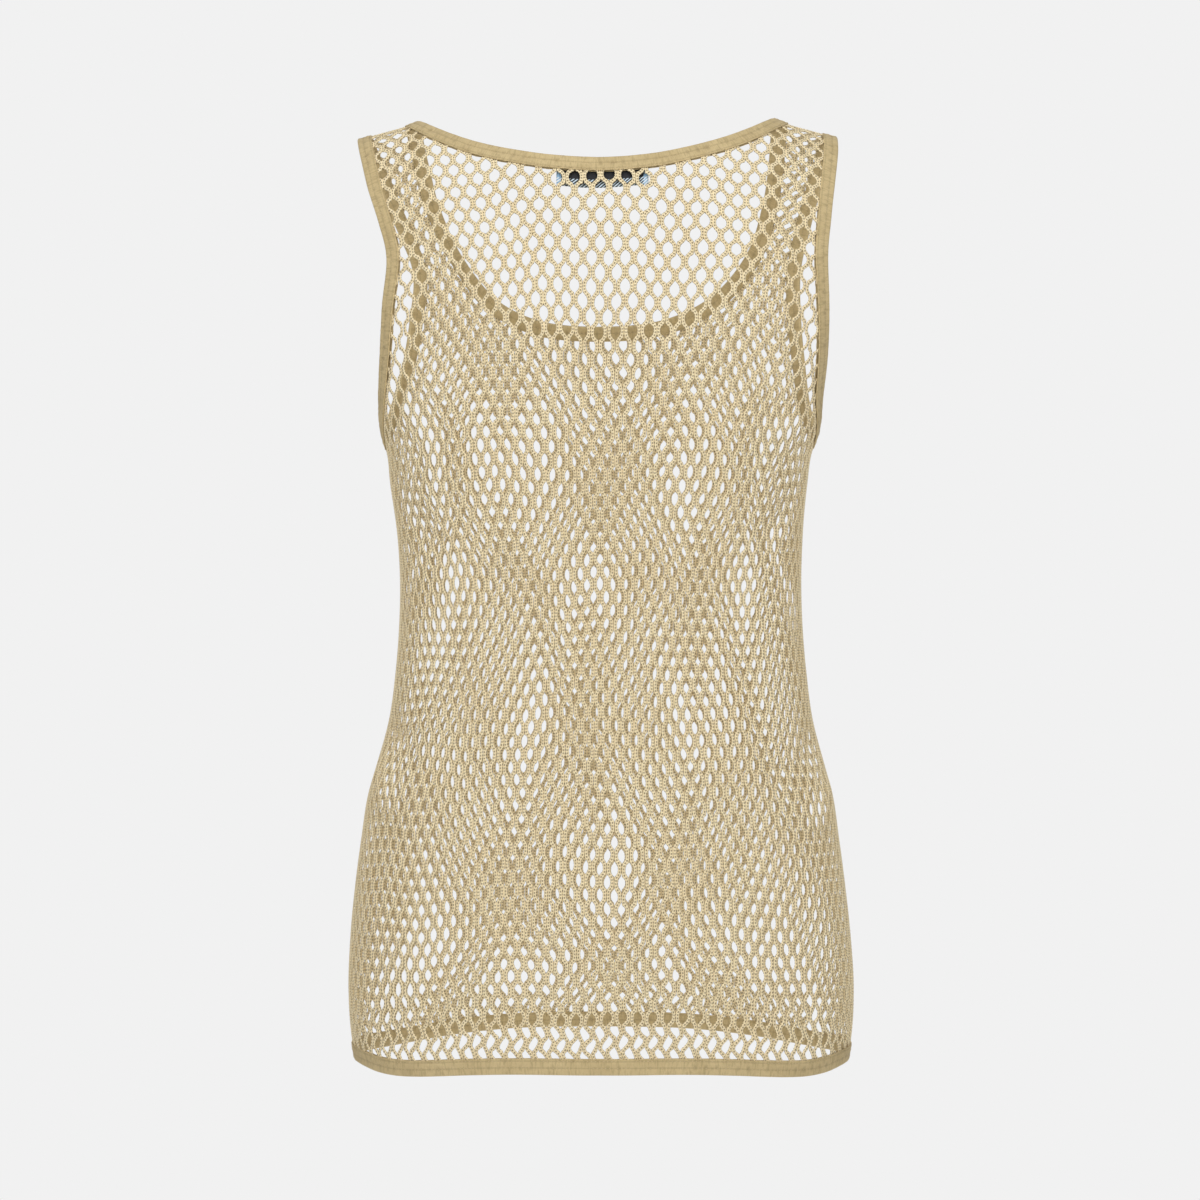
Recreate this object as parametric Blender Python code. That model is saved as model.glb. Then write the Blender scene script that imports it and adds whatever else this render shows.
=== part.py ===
"""A sleeveless tank top in open net, with folded jersey strips round its edges, in its worn shape.

Seven pieces: a back and a front panel, a folded strip each round the neck, both armholes and the
hem, and a small label inside the back neck. The front faces -Y and the wearer's left side is +X.
The origin lies midway between the two shoulder lines. Sizes are in millimetres in this file, and
each mesh is scaled to metres when it is made.
"""

from collections import Counter

import bmesh
import bpy
import numpy as np

BACK, FRONT = 1, -1

# Thicknesses, and the space left between pieces that are sewn together.
PANEL_WALL = 1.2
STRIP_WALL = 1.0
LABEL_WALL = 1.0
GAP = 0.3

# Widths of the finished strips, from the fold line to the stitched inner edge.
NECK_STRIP = 11.0
ARM_STRIP = 10.5
HEM_STRIP = 12.0
LIP = GAP + STRIP_WALL

# The label hangs from the inner edge of the neck strip.
LABEL_TUCK = 3.0
LABEL_DROP = 11.5
LABEL_HALF = 31.0

UNDERARM = -212.0
HEM = -644.0

# How square the ovals are (1 is an ellipse), and how full the cloth stays towards the shoulder.
SQUARE = {BACK: 0.88, FRONT: 0.92}
FULLNESS = {BACK: 2.6, FRONT: 1.8}

# Level ovals of the body: height, half width, depth behind and depth in front of the side seams.
BODY = (
    (-644, 172.0, 108, 103),
    (-630, 174.5, 109, 104),
    (-600, 176.5, 112, 106),
    (-563, 174.5, 113, 107),
    (-530, 171.0, 111, 107),
    (-496, 166.5, 106, 106),
    (-462, 161.0, 101, 104),
    (-445, 156.0, 98, 103),
    (-412, 147.0, 93, 101),
    (-378, 142.5, 90, 100),
    (-345, 140.0, 87, 101),
    (-311, 139.3, 86, 104),
    (-278, 141.2, 89, 108),
    (-244, 145.6, 94, 112),
    (-226, 148.0, 96, 113),
    (-212, 152.5, 97, 113),
)

# Half width of the oval that the cloth lies on, by how far it has risen from underarm to shoulder.
REACH = (
    (0.0, 152.5),
    (0.1, 162.5),
    (0.2, 172.0),
    (0.385, 186.5),
    (0.7, 196.0),
    (1.0, 200.0),
)

# The shoulder line: distance from the middle, height.
SHOULDER = (
    (-60, 19.0),
    (0, 22.0),
    (60, 19.0),
    (100, 12.5),
    (123, 7.0),
    (136, 2.5),
    (150, -1.5),
    (167, -6.5),
    (185, -14.0),
    (205, -24.0),
)

# Fold line of the neck strip, from the middle to the shoulder: step, distance across, height.
NECK = {
    BACK: (
        (-1, -33.0, -24.5),
        (0, 0.0, -27.0),
        (1, 33.0, -24.5),
        (2, 60.0, -18.8),
        (3, 84.0, -11.5),
        (4, 104.0, -3.2),
        (5, 117.0, 3.6),
        (6, 123.0, 7.0),
    ),
    FRONT: (
        (-1, -45.0, -124.0),
        (0, 0.0, -128.0),
        (1, 45.0, -124.0),
        (2, 80.0, -108.0),
        (3, 103.0, -80.0),
        (4, 115.0, -45.0),
        (5, 120.5, -16.0),
        (6, 123.0, 7.0),
    ),
}

# Fold line of the armhole strip, from the underarm to the shoulder: step, distance across, height.
ARMHOLE = {
    BACK: (
        (0, 152.5, -212.0),
        (1, 154.5, -197.0),
        (2, 155.5, -165.0),
        (3, 154.8, -128.0),
        (4, 152.8, -93.0),
        (5, 155.5, -66.0),
        (6, 160.5, -40.0),
        (7, 165.0, -19.0),
        (8, 167.0, -6.5),
    ),
    FRONT: (
        (0, 152.5, -212.0),
        (1, 151.5, -198.0),
        (2, 147.0, -165.0),
        (3, 143.0, -128.0),
        (4, 141.5, -93.0),
        (5, 147.0, -66.0),
        (6, 155.0, -40.0),
        (7, 163.0, -19.0),
        (8, 167.0, -6.5),
    ),
}

# Soft rises of the cloth: side, distance across, height, spread across, spread up, how far out.
RISES = (
    (FRONT, 72, -246, 50, 62, 19.0),
    (FRONT, -72, -246, 50, 62, 19.0),
    (BACK, 82, -118, 52, 66, 4.5),
    (BACK, -80, -122, 52, 66, 4.0),
    (BACK, 74, -560, 62, 60, 4.0),
    (BACK, -78, -556, 62, 60, 4.5),
)

# Soft creases: side, turn and height of both ends, half width, how far out (inwards if negative).
CREASES = (
    (BACK, 84, -412, 40, -447, 15, -3.6),
    (BACK, 86, -446, 52, -470, 14, 2.8),
    (BACK, -84, -420, -46, -456, 15, -3.0),
    (BACK, -86, -455, -58, -478, 13, 2.6),
    (BACK, 80, -238, 48, -300, 13, -2.0),
    (BACK, -82, -232, -50, -286, 13, -2.4),
    (FRONT, 82, -300, 44, -262, 14, -3.4),
    (FRONT, -80, -306, -40, -266, 14, -3.0),
    (FRONT, 84, -430, 46, -462, 15, -3.0),
    (FRONT, -84, -424, -50, -450, 14, -3.4),
    (FRONT, 22, -322, 30, -560, 22, -2.6),
    (FRONT, -26, -316, -34, -500, 20, -3.0),
)

# Mesh divisions of half a panel: rows from shoulder to hem, those of them that start at the neck,
# those that end at the armhole, and columns. Rows lie closer together towards the hem.
ROWS = 38
NECK_ROWS = {BACK: 11, FRONT: 14}
ARM_ROWS = {BACK: 18, FRONT: 19}
COLUMNS = 14
CLOSING = 0.75
ENDS_CLOSER = 0.4


def through(rows, column, at):
    """The value at a place on a smooth curve through rows of (place, value, ...)."""
    table = np.array(rows, float)
    place, value = table[:, 0], table[:, column]
    slope = np.gradient(value, place)
    i = np.clip(np.searchsorted(place, at, side="right") - 1, 0, len(place) - 2)
    step = place[i + 1] - place[i]
    u = (at - place[i]) / step
    return (
        value[i] * (1 + 2 * u) * (1 - u) ** 2
        + slope[i] * step * u * (1 - u) ** 2
        + value[i + 1] * u * u * (3 - 2 * u)
        + slope[i + 1] * step * u * u * (u - 1)
    )


def unit(vectors):
    return vectors / np.linalg.norm(vectors, axis=-1, keepdims=True)


def pushed_out(side, turn, x, z):
    """How far the rises and creases move the cloth out from its plain form."""
    out = np.zeros_like(x)
    for where, across, height, wide, tall, far in RISES:
        if where == side:
            out += far * np.exp(-(((x - across) / wide) ** 2) - ((z - height) / tall) ** 2)
    round_mm = 2.6  # cloth to one degree of turn, nearly the same at every height
    for where, turn_a, z_a, turn_b, z_b, half, far in CREASES:
        if where != side:
            continue
        start = np.array((turn_a * round_mm, z_a))
        along = np.array((turn_b * round_mm, z_b)) - start
        here = np.stack((turn * round_mm, z), axis=-1) - start
        share = here @ along / (along @ along)
        off = here - np.clip(share, 0, 1)[..., None] * along
        fade = np.exp(-((np.abs(share - 0.5) / 0.55) ** 4))
        out += far * fade * np.exp(-(off**2).sum(-1) / half**2)
    return out * np.clip((90 - np.abs(turn)) / 14, 0, 1)


def cloth(side, turn, rise):
    """Points in the middle of the cloth's thickness.

    turn goes from -90 at the right side seam to 90 at the left one. rise goes from -1 at the hem
    through 0 at the underarm to 1 on the shoulder line.
    """
    turn, rise = np.broadcast_arrays(np.asarray(turn, float), np.asarray(rise, float))
    height = UNDERARM + np.minimum(rise, 0) * (UNDERARM - HEM)
    half = np.where(rise < 0, through(BODY, 1, height), through(REACH, 1, np.maximum(rise, 0)))
    depth = through(BODY, 2 if side == BACK else 3, height)
    angle = np.radians(turn)
    roll = np.sin(np.radians(90) * np.clip(rise, 0, 1))
    x = half * np.sin(angle)
    z = height + (through(SHOULDER, 1, np.abs(x)) - UNDERARM) * roll
    bulge = np.clip(np.cos(angle), 0, 1) ** SQUARE[side]
    thin = np.sqrt(np.clip(1 - roll ** FULLNESS[side], 0, 1))
    y = depth * bulge * thin
    out = pushed_out(side, turn, x, z) * thin
    way = unit(np.stack((np.sin(angle) / half, np.cos(angle) / depth), axis=-1))
    return np.stack((x + out * way[..., 0], side * (y + out * way[..., 1]), z), axis=-1)


def directions(side, turn, rise):
    """The cloth's two slopes and its outward normal at points given by turn and rise."""
    low_t, high_t = np.maximum(turn - 0.2, -90), np.minimum(turn + 0.2, 90)
    low_r, high_r = np.maximum(rise - 0.002, -1), np.minimum(rise + 0.002, 1)
    across = cloth(side, high_t, rise) - cloth(side, low_t, rise)
    up = cloth(side, turn, high_r) - cloth(side, turn, low_r)
    across /= (high_t - low_t)[..., None]
    up /= (high_r - low_r)[..., None]
    return across, up, unit(-side * np.cross(across, up))


def locate(x, z):
    """turn and rise of a place above the underarm, from its distance across and its height."""
    roll = np.clip((z - UNDERARM) / (through(SHOULDER, 1, np.abs(x)) - UNDERARM), 0, 1)
    rise = np.arcsin(roll) / np.radians(90)
    turn = np.degrees(np.arcsin(np.clip(x / through(REACH, 1, rise), -1, 1)))
    return turn, rise


def spaced(side, turn, rise, count):
    """The same line of the cloth with count + 1 points, closer together towards its two ends."""
    points = cloth(side, turn, rise)
    steps = np.linalg.norm(np.diff(points, axis=0), axis=1)
    along = np.concatenate(((0,), np.cumsum(steps)))
    share = np.linspace(0, 1, count + 1)
    at = along[-1] * (share - ENDS_CLOSER * np.sin(2 * np.pi * share) / (2 * np.pi))
    return np.interp(at, along, turn), np.interp(at, along, rise)


def walked(side, turn, rise, heading, length):
    """turn and rise after going that length along the cloth in the heading of each point."""
    for _ in range(6):
        across, up, _ = directions(side, turn, rise)
        aa, ab, bb = (across * across).sum(-1), (across * up).sum(-1), (up * up).sum(-1)
        ha, hb = (heading * across).sum(-1), (heading * up).sum(-1)
        turn = np.clip(turn + length / 6 * (ha * bb - hb * ab) / (aa * bb - ab**2), -90, 90)
        rise = np.clip(rise + length / 6 * (hb * aa - ha * ab) / (aa * bb - ab**2), -1, 1)
    return turn, rise


def strip_lines(side, turn, rise, heading, width):
    """Fold line, panel edge, middle and inner edge of a strip, each as turn and rise."""
    lengths = (0.0, LIP, 0.5 * width, width)
    return [walked(side, turn, rise, heading, length) for length in lengths]


def into_cloth(side, turn, rise, centre):
    """Headings square to an edge line, away from the centre of the hole that it goes round."""
    points = cloth(side, turn, rise)
    normal = directions(side, turn, rise)[2]
    heading = unit(np.cross(normal, np.gradient(points, axis=0)))
    away = ((points - centre) * heading).sum(-1, keepdims=True)
    return heading * np.sign(away)


def neck_lines(side):
    """The neck strip's lines on one side, from the right shoulder to the left one."""
    step = 6 * np.sin(np.radians(np.linspace(-90, 90, 801)))
    x = np.sign(step) * through(NECK[side], 1, np.abs(step))
    turn, rise = locate(x, through(NECK[side], 2, np.abs(step)))
    turn, rise = spaced(side, turn, rise, 2 * NECK_ROWS[side])
    heading = into_cloth(side, turn, rise, np.array((0.0, 0.0, 60.0)))
    across = unit(directions(side, turn, rise)[0])
    heading[0], heading[-1] = -across[0], across[-1]
    return strip_lines(side, turn, rise, heading, NECK_STRIP)


def arm_lines(side):
    """The left armhole strip's lines on one side, from the shoulder to the underarm."""
    step = 4 + 4 * np.cos(np.radians(np.linspace(0, 180, 801)))
    x, z = (through(ARMHOLE[side], column, step) for column in (1, 2))
    turn, rise = spaced(side, *locate(x, z), ARM_ROWS[side])
    turn[-1], rise[-1] = 90, 0
    heading = into_cloth(side, turn, rise, np.array((155.0, 0.0, -110.0)))
    across, up, _ = directions(side, turn, rise)
    heading[0], heading[-1] = -unit(across[0]), -unit(up[-1])
    return strip_lines(side, turn, rise, heading, ARM_STRIP)


def hem_lines():
    """The hem strip's lines on one side, from the right side seam to the left one."""
    turn = np.linspace(-90, 90, 2 * COLUMNS + 1)
    heights = (0.0, LIP, 0.5 * HEM_STRIP, HEM_STRIP)
    return [(turn, np.full_like(turn, -1 + high / (UNDERARM - HEM))) for high in heights]


class Sheet:
    """Quads of cloth whose corners are given by turn and rise, shared where they meet."""

    def __init__(self):
        self.index, self.faces = {}, []

    def corner(self, turn, rise):
        return self.index.setdefault((round(turn, 5), round(rise, 6)), len(self.index))

    def add(self, turn, rise):
        """A grid of quads, and the same grid mirrored to the other half of the body."""
        for hand in (1, -1):
            ids = [[self.corner(hand * t, r) for t, r in zip(*row)] for row in zip(turn, rise)]
            for above, below in zip(ids, ids[1:]):
                for i in range(len(above) - 1):
                    self.faces.append((above[i], above[i + 1], below[i + 1], below[i]))

    def places(self):
        return np.array(list(self.index)).T


def material(name, color, roughness):
    made = bpy.data.materials.new(name)
    made.use_nodes = True
    shader = made.node_tree.nodes["Principled BSDF"]
    shader.inputs["Base Color"].default_value = (*color, 1)
    shader.inputs["Roughness"].default_value = roughness
    return made


def split(points, faces):
    """Each quad as two triangles, cut along the shorter of its diagonals between those points."""
    cut = []
    for a, b, c, d in faces:
        if np.linalg.norm(points[a] - points[c]) < np.linalg.norm(points[b] - points[d]):
            cut += [(a, b, c), (a, c, d)]
        else:
            cut += [(a, b, d), (b, c, d)]
    return cut


def new_object(name, points, faces, made_of):
    """An object from points in millimetres, with its faces turned outwards."""
    mesh = bpy.data.meshes.new(name)
    mesh.from_pydata((np.asarray(points) / 1000).tolist(), [], [tuple(f) for f in faces])
    shape = bmesh.new()
    shape.from_mesh(mesh)
    bmesh.ops.recalc_face_normals(shape, faces=shape.faces)
    shape.to_mesh(mesh)
    shape.free()
    mesh.materials.append(made_of)
    made = bpy.data.objects.new(name, mesh)
    garment.objects.link(made)
    return made


def make_slab(name, points, normals, faces, wall, made_of, side=None):
    """Cloth of that thickness about its middle points; side keeps a panel clear of the seams."""
    layers = np.concatenate((points + wall / 2 * normals, points - wall / 2 * normals))
    if side:
        layers[:, 1] = side * np.maximum(side * layers[:, 1], GAP / 2)
    faces = split(points, faces)
    edges = [(face[i - 1], face[i]) for face in faces for i in range(3)]
    uses = Counter(tuple(sorted(edge)) for edge in edges)
    far = len(points)
    rim = [(b, a, a + far, b + far) for a, b in edges if uses[tuple(sorted((a, b)))] == 1]
    under = [tuple(corner + far for corner in face[::-1]) for face in faces]
    new_object(name, layers, faces + under + rim, made_of)


def continued(turn, rise, straight, low, closing):
    """A line carried on down to the hem at that turn, with the rows that are left."""
    down = ROWS + 1 - len(turn)
    more = rise[-1] + (low - rise[-1]) * (np.arange(1, down + 1) / down) ** closing
    return np.append(turn, np.full(down, straight)), np.append(rise, more)


def make_panel(name, side, made_of):
    """One panel: the field between the strips, then the borders that the strips fold over."""
    neck, arm, hem = neck_lines(side), arm_lines(side), hem_lines()
    middle = NECK_ROWS[side]
    low = hem[3][1][0]
    inner_turn, inner_rise = (line[middle:][::-1] for line in neck[3])
    outer_turn, outer_rise = arm[3]
    inner_turn, inner_rise = continued(inner_turn, inner_rise, 0, low, CLOSING)
    outer_turn, outer_rise = continued(outer_turn, outer_rise, 90, low, 1)
    share = np.linspace(0, 1, COLUMNS + 1)
    sheet = Sheet()
    sheet.add(
        inner_turn[:, None] * (1 - share) + outer_turn[:, None] * share,
        inner_rise[:, None] * (1 - share) + outer_rise[:, None] * share,
    )
    left = slice(middle, None)
    sheet.add(*(np.array([line[k][left] for line in neck[1:]]) for k in (0, 1)))
    sheet.add(*(np.array([line[k] for line in arm[1:]]) for k in (0, 1)))
    left = slice(COLUMNS, None)
    sheet.add(*(np.array([line[k][left] for line in hem[1:]]) for k in (0, 1)))
    turn, rise = sheet.places()
    points, normals = cloth(side, turn, rise), directions(side, turn, rise)[2]
    make_slab(name, points, normals, sheet.faces, PANEL_WALL, made_of, side)


# Which line each corner of the strip's section belongs to: 0 fold, 1 edge, 2 middle, 3 inner.
SECTION_LINES = (3, 3, 2, 1, 1, 0, 1, 1, 2, 3, 3, 2, 1, 1, 2)


def section(places, normals):
    """Corners of the folded strip's section at every station, in order round it."""
    fold, edge, middle, inner = places
    n_edge, n_middle, n_inner = normals[1:]
    near = PANEL_WALL / 2 + GAP
    far = near + STRIP_WALL
    lip = edge + GAP * unit(fold - edge)
    bend = edge + 0.72 * (fold - edge)
    return np.stack(
        (
            inner + near * n_inner,
            inner + far * n_inner,
            middle + far * n_middle,
            edge + far * n_edge,
            bend + 0.62 * far * n_edge,
            fold,
            bend - 0.62 * far * n_edge,
            edge - far * n_edge,
            middle - far * n_middle,
            inner - far * n_inner,
            inner - near * n_inner,
            middle - near * n_middle,
            lip - near * n_edge,
            lip + near * n_edge,
            middle + near * n_middle,
        ),
        axis=1,
    )


def make_strip(name, runs, hand, made_of):
    """A strip folded round an edge, closed in a ring. runs has (side, lines) for each side."""
    places, normals = [], []
    for side, lines in runs:
        places.append([cloth(side, *line) for line in lines])
        normals.append([directions(side, *line)[2] for line in lines])
    joined, turned = [], []
    for k in range(4):
        first, second = (run[k] for run in places)
        first_n, second_n = (run[k] for run in normals)
        seams = unit(first_n[[0, -1]] + second_n[[-1, 0]])
        joined.append(np.concatenate((first, second[1:-1])))
        turned.append(np.concatenate((seams[:1], first_n[1:-1], seams[1:], second_n[1:-1])))
    stations = section(joined, turned) * (hand, 1, 1)
    count, corners = stations.shape[:2]
    faces = [
        (
            i * corners + j,
            i * corners + (j + 1) % corners,
            (i + 1) % count * corners + (j + 1) % corners,
            (i + 1) % count * corners + j,
        )
        for i in range(count)
        for j in range(corners)
    ]
    along = np.stack([joined[line] for line in SECTION_LINES], axis=1).reshape(-1, 3)
    new_object(name, stations.reshape(-1, 3), split(along, faces), made_of)


def reverse(lines):
    return [(turn[::-1], rise[::-1]) for turn, rise in lines]


def make_label(name, made_of):
    """A small flat label that hangs inside the back neck, lying on the strip's flat faces."""
    fold = neck_lines(BACK)[0]
    middle = NECK_ROWS[BACK]
    turn, rise = (line[middle - 3 : middle + 4] for line in fold)
    heading = into_cloth(BACK, turn, rise, np.array((0.0, 0.0, 60.0)))
    inward = PANEL_WALL / 2 + GAP + STRIP_WALL + GAP + LABEL_WALL / 2
    steps = np.linalg.norm(np.diff(cloth(BACK, turn, rise), axis=0), axis=1)
    along = np.concatenate(((0,), np.cumsum(steps)))
    along -= along[3]
    at = np.concatenate(((-LABEL_HALF,), along[np.abs(along) < LABEL_HALF], (LABEL_HALF,)))
    points, normals = [], []
    downs = (-LABEL_TUCK, 0, LABEL_DROP / 2, LABEL_DROP)
    for down in downs:
        place = walked(BACK, turn, rise, heading, NECK_STRIP + down)
        normal = directions(BACK, *place)[2]
        for values, kept in ((normal, normals), (cloth(BACK, *place) - inward * normal, points)):
            kept.extend(np.stack([np.interp(at, along, axis) for axis in values.T], axis=1))
    wide = len(at)
    faces = [
        (r * wide + i, r * wide + i + 1, (r + 1) * wide + i + 1, (r + 1) * wide + i)
        for r in range(len(downs) - 1)
        for i in range(wide - 1)
    ]
    make_slab(name, np.array(points), np.array(normals), faces, LABEL_WALL, made_of)


for old in list(bpy.data.objects):
    bpy.data.objects.remove(old, do_unlink=True)
garment = bpy.data.collections.new("mesh_tank_top")
bpy.context.scene.collection.children.link(garment)

net = material("cotton_net", (0.65, 0.54, 0.32), 0.85)
jersey = material("cotton_jersey", (0.55, 0.44, 0.25), 0.9)
woven = material("woven_label", (0.012, 0.012, 0.014), 0.7)

make_panel("back_panel", BACK, net)
make_panel("front_panel", FRONT, net)
neck_runs = [(BACK, neck_lines(BACK)), (FRONT, reverse(neck_lines(FRONT)))]
make_strip("neck_strip", neck_runs, 1, jersey)
arm_runs = [(BACK, arm_lines(BACK)), (FRONT, reverse(arm_lines(FRONT)))]
make_strip("left_armhole_strip", arm_runs, 1, jersey)
make_strip("right_armhole_strip", arm_runs, -1, jersey)
hem_runs = [(BACK, hem_lines()), (FRONT, reverse(hem_lines()))]
make_strip("hem_strip", hem_runs, 1, jersey)
make_label("neck_label", woven)
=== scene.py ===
import bpy
import numpy as np
from mathutils import Matrix, Vector


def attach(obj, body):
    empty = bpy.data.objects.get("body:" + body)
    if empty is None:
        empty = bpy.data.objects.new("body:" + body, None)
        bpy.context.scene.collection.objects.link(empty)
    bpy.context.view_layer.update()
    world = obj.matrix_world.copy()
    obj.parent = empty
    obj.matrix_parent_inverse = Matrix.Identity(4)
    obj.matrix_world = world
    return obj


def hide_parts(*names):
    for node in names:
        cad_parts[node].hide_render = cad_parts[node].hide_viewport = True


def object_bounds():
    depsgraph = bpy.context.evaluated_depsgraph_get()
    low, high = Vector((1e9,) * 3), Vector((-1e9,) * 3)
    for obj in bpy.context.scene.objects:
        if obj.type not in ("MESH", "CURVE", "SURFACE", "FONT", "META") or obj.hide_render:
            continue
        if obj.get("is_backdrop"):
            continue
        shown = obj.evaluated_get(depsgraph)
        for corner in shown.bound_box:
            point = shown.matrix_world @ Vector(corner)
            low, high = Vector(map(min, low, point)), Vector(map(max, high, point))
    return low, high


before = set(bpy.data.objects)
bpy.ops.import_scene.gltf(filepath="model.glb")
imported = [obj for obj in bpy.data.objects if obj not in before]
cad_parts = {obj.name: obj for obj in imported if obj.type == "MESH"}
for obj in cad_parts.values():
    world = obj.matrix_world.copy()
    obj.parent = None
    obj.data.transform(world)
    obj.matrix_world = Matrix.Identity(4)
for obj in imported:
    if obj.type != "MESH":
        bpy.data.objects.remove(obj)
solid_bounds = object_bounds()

BACK, FRONT = 1, -1
SIDES = {BACK: "back", FRONT: "front"}
HANDS = {1: "left", -1: "right"}
PI = 3.14159  # in the patterns that the materials draw
print("the solid parts lie between", *solid_bounds)

# %% [markdown]
# ## The worn form
# A knitted top has no shape of its own, so the form that it takes when worn comes first. It could
# be sculpted or draped, but measured sections are exact: level ovals from hem to underarm, and
# above that a roll over to the shoulder line.
# %% Sizes of the form
UNDERARM, HEM = -212.0, -644.0
SQUARE = {BACK: 0.88, FRONT: 0.92}
FULLNESS = {BACK: 2.6, FRONT: 1.8}

# height, half width, depth behind, depth in front
BODY = (
    (-644, 172.0, 108, 103), (-630, 174.5, 109, 104),
    (-600, 176.5, 112, 106), (-563, 174.5, 113, 107),
    (-530, 171.0, 111, 107), (-496, 166.5, 106, 106),
    (-462, 161.0, 101, 104), (-445, 156.0, 98, 103),
    (-412, 147.0, 93, 101), (-378, 142.5, 90, 100),
    (-345, 140.0, 87, 101), (-311, 139.3, 86, 104),
    (-278, 141.2, 89, 108), (-244, 145.6, 94, 112),
    (-226, 148.0, 96, 113), (-212, 152.5, 97, 113),
)
# share of the way from underarm to shoulder, half width of the oval there
REACH = ((0.0, 152.5), (0.1, 162.5), (0.2, 172.0), (0.385, 186.5), (0.7, 196.0), (1.0, 200.0))
# distance from the middle, height of the shoulder line
SHOULDER = (
    (-60, 19.0), (0, 22.0), (60, 19.0), (100, 12.5), (123, 7.0),
    (136, 2.5), (150, -1.5), (167, -6.5), (185, -14.0), (205, -24.0),
)
# side, distance across, height, spread across, spread up, how far out
RISES = (
    (FRONT, 72, -246, 50, 62, 19.0), (FRONT, -72, -246, 50, 62, 19.0),
    (BACK, 82, -118, 52, 66, 4.5), (BACK, -80, -122, 52, 66, 4.0),
    (BACK, 74, -560, 62, 60, 4.0), (BACK, -78, -556, 62, 60, 4.5),
)
# side, turn and height of both ends, half width, how far out
CREASES = (
    (BACK, 84, -412, 40, -447, 15, -3.6), (BACK, 86, -446, 52, -470, 14, 2.8),
    (BACK, -84, -420, -46, -456, 15, -3.0), (BACK, -86, -455, -58, -478, 13, 2.6),
    (BACK, 80, -238, 48, -300, 13, -2.0), (BACK, -82, -232, -50, -286, 13, -2.4),
    (FRONT, 82, -300, 44, -262, 14, -3.4), (FRONT, -80, -306, -40, -266, 14, -3.0),
    (FRONT, 84, -430, 46, -462, 15, -3.0), (FRONT, -84, -424, -50, -450, 14, -3.4),
    (FRONT, 22, -322, 30, -560, 22, -2.6), (FRONT, -26, -316, -34, -500, 20, -3.0),
)
print(f"{len(BODY)} level ovals, {len(RISES)} rises, {len(CREASES)} creases")


# %% Curves through the tables
def through(rows, column, at):
    """The value at a place on a smooth curve through rows of (place, value, ...)."""
    table = np.array(rows, float)
    place, value = table[:, 0], table[:, column]
    slope = np.gradient(value, place)
    i = np.clip(np.searchsorted(place, at, side="right") - 1, 0, len(place) - 2)
    step = place[i + 1] - place[i]
    u = (at - place[i]) / step
    return (
        value[i] * (1 + 2 * u) * (1 - u) ** 2
        + slope[i] * step * u * (1 - u) ** 2
        + value[i + 1] * u * u * (3 - 2 * u)
        + slope[i + 1] * step * u * u * (u - 1)
    )


def unit(vectors):
    return vectors / np.maximum(np.linalg.norm(vectors, axis=-1, keepdims=True), 1e-9)


def gone(points):
    """Distance along a line of points from its start to each of them."""
    return np.append(0, np.cumsum(np.linalg.norm(np.diff(points, axis=0), axis=1)))


def picked(at, along, points):
    """The points at the given distances along a line."""
    return np.stack([np.interp(at, along, axis) for axis in points.T], axis=1)


waist, hips = (2 * through(BODY, 1, height) for height in (-311.0, -600.0))
print(f"{waist:.0f} mm across the waist, {hips:.0f} mm across the hips")

# %% [markdown]
# ## The cloth's surface
# A place on the cloth is given by its turn round the form and its rise from hem to shoulder.
# Working in turn and rise keeps every later piece on the same surface, whatever its own mesh.
# Soft rises follow the bust, shoulder blades and seat. The few creases lie at the waist and under
# the arms, where a worn top breaks.
# %% Rises and creases
ROUND_A_DEGREE = 2.6  # mm of cloth to a degree of turn
CALM_TURN = 14  # degrees beside a side seam where rises and creases fade


def pushed_out(side, turn, x, z):
    """How far the rises and creases move the cloth out from its plain form."""
    out = np.zeros_like(x)
    for where, across, height, wide, tall, far in RISES:
        if where == side:
            out += far * np.exp(-(((x - across) / wide) ** 2) - ((z - height) / tall) ** 2)
    for where, turn_a, z_a, turn_b, z_b, half, far in CREASES:
        if where != side:
            continue
        start = np.array((turn_a * ROUND_A_DEGREE, z_a))
        along = np.array((turn_b * ROUND_A_DEGREE, z_b)) - start
        here = np.stack((turn * ROUND_A_DEGREE, z), axis=-1) - start
        share = here @ along / (along @ along)
        off = here - np.clip(share, 0, 1)[..., None] * along
        fade = np.exp(-((np.abs(share - 0.5) / 0.55) ** 4))
        out += far * fade * np.exp(-(off**2).sum(-1) / half**2)
    return out * np.clip((90 - np.abs(turn)) / CALM_TURN, 0, 1)


# %% The surface and its directions
def cloth(side, turn, rise):
    """Points in the middle of the cloth's thickness."""
    turn, rise = np.broadcast_arrays(np.asarray(turn, float), np.asarray(rise, float))
    height = UNDERARM + np.minimum(rise, 0) * (UNDERARM - HEM)
    half = np.where(rise < 0, through(BODY, 1, height), through(REACH, 1, np.maximum(rise, 0)))
    depth = through(BODY, 2 if side == BACK else 3, height)
    angle = np.radians(turn)
    roll = np.sin(np.radians(90) * np.clip(rise, 0, 1))
    x = half * np.sin(angle)
    z = height + (through(SHOULDER, 1, np.abs(x)) - UNDERARM) * roll
    bulge = np.clip(np.cos(angle), 0, 1) ** SQUARE[side]
    thin = np.sqrt(np.clip(1 - roll ** FULLNESS[side], 0, 1))
    y = depth * bulge * thin
    out = pushed_out(side, turn, x, z) * thin
    way = unit(np.stack((np.sin(angle) / half, np.cos(angle) / depth), axis=-1))
    return np.stack((x + out * way[..., 0], side * (y + out * way[..., 1]), z), axis=-1)


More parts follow.
